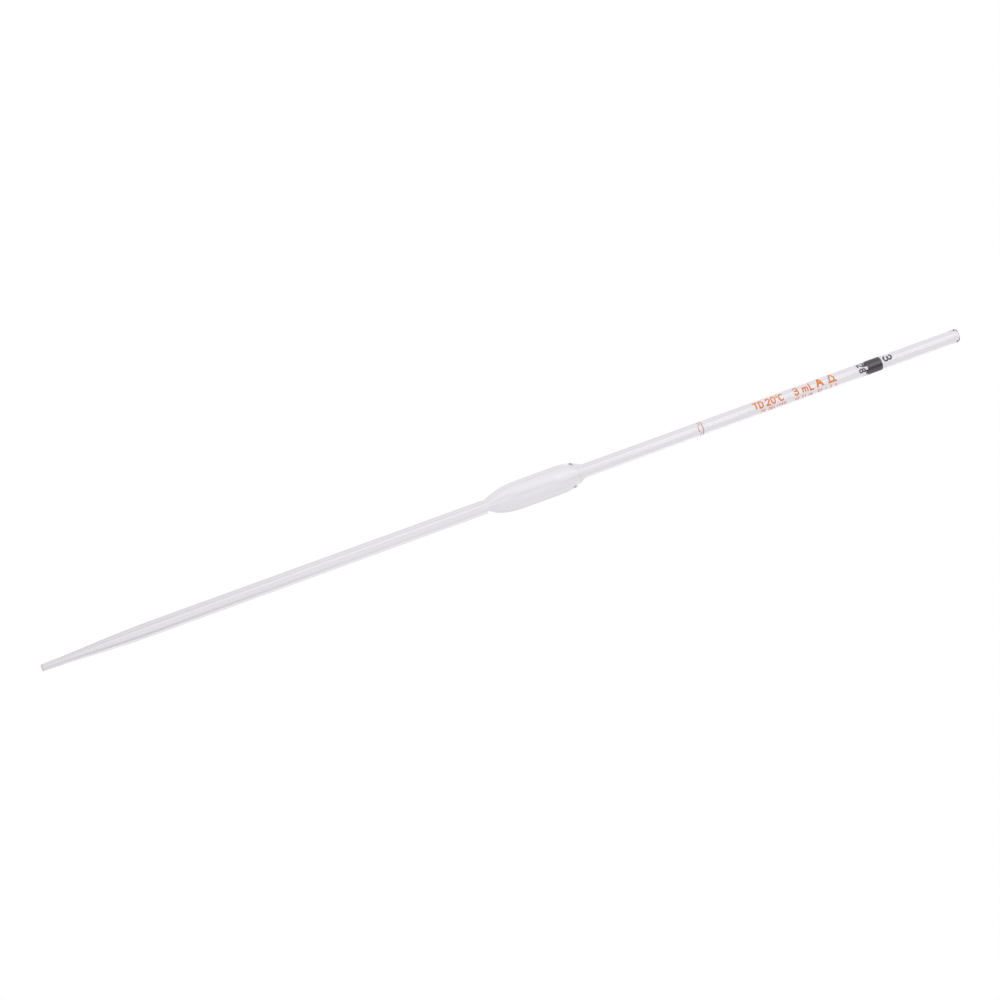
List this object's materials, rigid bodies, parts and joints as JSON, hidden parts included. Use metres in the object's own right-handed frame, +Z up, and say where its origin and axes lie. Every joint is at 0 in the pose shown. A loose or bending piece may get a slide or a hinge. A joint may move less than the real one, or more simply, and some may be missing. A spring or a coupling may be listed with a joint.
{
  "type": "volumetric pipette",
  "caption": "Slim clear glass volumetric pipette lying on its side: drawn jet, delivery tube, long bulb, suction tube with a graduation ring, enamel figures and a dark code band.",
  "frame": {"origin": "on the resting surface under the middle of the pipette's length; the pipette lies on its bulb", "axes": "+X along the pipette's axis from the jet to the mouth, +Z up, +Y to the left seen from above with the mouth ahead"},
  "size_m": [0.374, 0.0104, 0.0103],
  "materials": {
    "clear_glass": "clear, fire-polished borosilicate glass",
    "orange_enamel": "fired ceramic enamel, satin gloss",
    "amber_enamel": "fired amber-brown diffusion stain, satin",
    "black_enamel": "fired black enamel, satin gloss"
  },
  "bodies": {
    "root": {"jet_tip": "clear_glass", "delivery_tube": "clear_glass", "lower_shoulder": "clear_glass", "bulb_barrel": "clear_glass", "upper_shoulder": "clear_glass", "suction_tube": "clear_glass", "graduation_ring": "amber_enamel", "colour_code_band": "black_enamel", "legend_T": "orange_enamel", "legend_D": "orange_enamel", "legend_2": "orange_enamel", "legend_0": "orange_enamel", "legend_degree": "orange_enamel", "legend_C": "orange_enamel", "capacity_3": "orange_enamel", "capacity_m": "orange_enamel", "capacity_L": "orange_enamel", "class_A": "orange_enamel", "drop_sign": "orange_enamel", "batch_2": "black_enamel", "batch_8": "black_enamel", "size_code_3": "black_enamel"}
  },
  "joints": []
}
